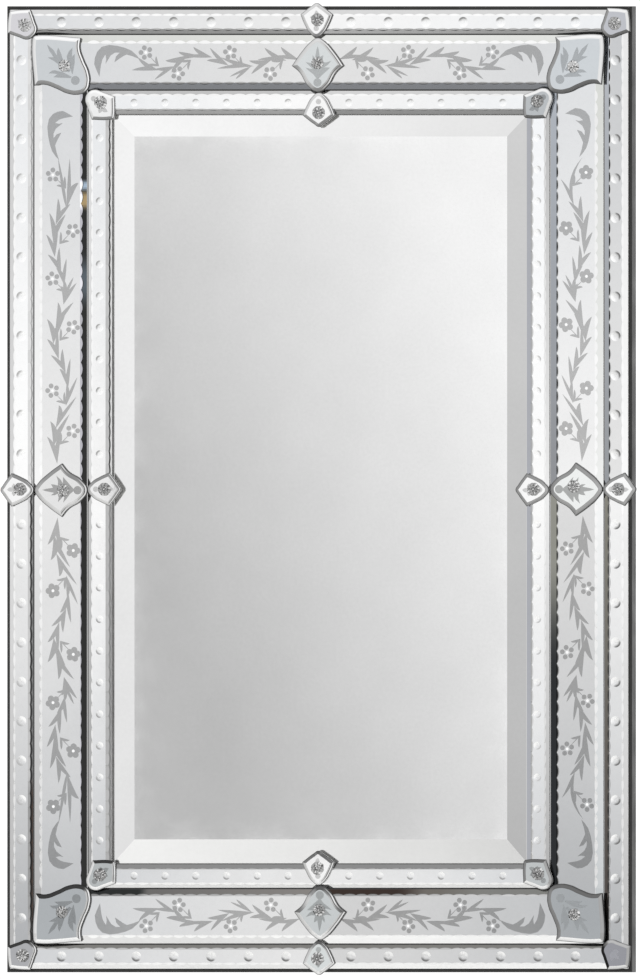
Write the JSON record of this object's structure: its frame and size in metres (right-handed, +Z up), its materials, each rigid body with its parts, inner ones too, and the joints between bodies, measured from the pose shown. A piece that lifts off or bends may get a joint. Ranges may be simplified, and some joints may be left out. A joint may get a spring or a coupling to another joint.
{
  "type": "wall mirror",
  "caption": "Upright rectangular wall mirror with a bevelled centre plate framed by rings of mirrored glass strips, etched vine panels and shaped cover plates held by glass rosettes.",
  "frame": {"origin": "middle of the top rail's back face, on the wall", "axes": "+Z up, the mirror faces -Y, +X to the right of someone looking into it"},
  "size_m": [0.8112, 0.0366, 1.208],
  "materials": {
    "black_wood": "black paint, satin",
    "panel_wood": "thin board, stained dark, matt",
    "plate_mirror": "polished silvered glass",
    "strip_mirror": "polished silvered glass",
    "etched_mirror": "polished silvered glass with a satin etched vine",
    "cover_mirror": "polished silvered glass with satin engraving"
  },
  "bodies": {
    "root": {"frame_rail_top": "black_wood", "frame_rail_right": "black_wood", "frame_rail_bottom": "black_wood", "frame_rail_left": "black_wood", "back_panel": "panel_wood", "centre_mirror": "plate_mirror", "outer_strip_top_left": "strip_mirror", "etched_panel_top_left": "etched_mirror", "inner_strip_top_left": "strip_mirror", "outer_strip_top_right": "strip_mirror", "etched_panel_top_right": "etched_mirror", "inner_strip_top_right": "strip_mirror", "outer_strip_right_upper": "strip_mirror", "etched_panel_right_upper": "etched_mirror", "inner_strip_right_upper": "strip_mirror", "outer_strip_right_lower": "strip_mirror", "etched_panel_right_lower": "etched_mirror", "inner_strip_right_lower": "strip_mirror", "outer_strip_bottom_right": "strip_mirror", "etched_panel_bottom_right": "etched_mirror", "inner_strip_bottom_right": "strip_mirror", "outer_strip_bottom_left": "strip_mirror", "etched_panel_bottom_left": "etched_mirror", "inner_strip_bottom_left": "strip_mirror", "outer_strip_left_lower": "strip_mirror", "etched_panel_left_lower": "etched_mirror", "inner_strip_left_lower": "strip_mirror", "outer_strip_left_upper": "strip_mirror", "etched_panel_left_upper": "etched_mirror", "inner_strip_left_upper": "strip_mirror", "middle_plate_top": "cover_mirror", "middle_plate_top_outer": "cover_mirror", "middle_plate_top_inner": "cover_mirror", "middle_plate_right": "cover_mirror", "middle_plate_right_outer": "cover_mirror", "middle_plate_right_inner": "cover_mirror", "middle_plate_bottom": "cover_mirror", "middle_plate_bottom_outer": "cover_mirror", "middle_plate_bottom_inner": "cover_mirror", "middle_plate_left": "cover_mirror", "middle_plate_left_outer": "cover_mirror", "middle_plate_left_inner": "cover_mirror", "corner_plate_top_left": "cover_mirror", "corner_plate_top_left_outer": "cover_mirror", "corner_plate_top_left_inner": "cover_mirror", "corner_plate_top_right": "cover_mirror", "corner_plate_top_right_outer": "cover_mirror", "corner_plate_top_right_inner": "cover_mirror", "corner_plate_bottom_left": "cover_mirror", "corner_plate_bottom_left_outer": "cover_mirror", "corner_plate_bottom_left_inner": "cover_mirror", "corner_plate_bottom_right": "cover_mirror", "corner_plate_bottom_right_outer": "cover_mirror", "corner_plate_bottom_right_inner": "cover_mirror"}
  },
  "joints": []
}
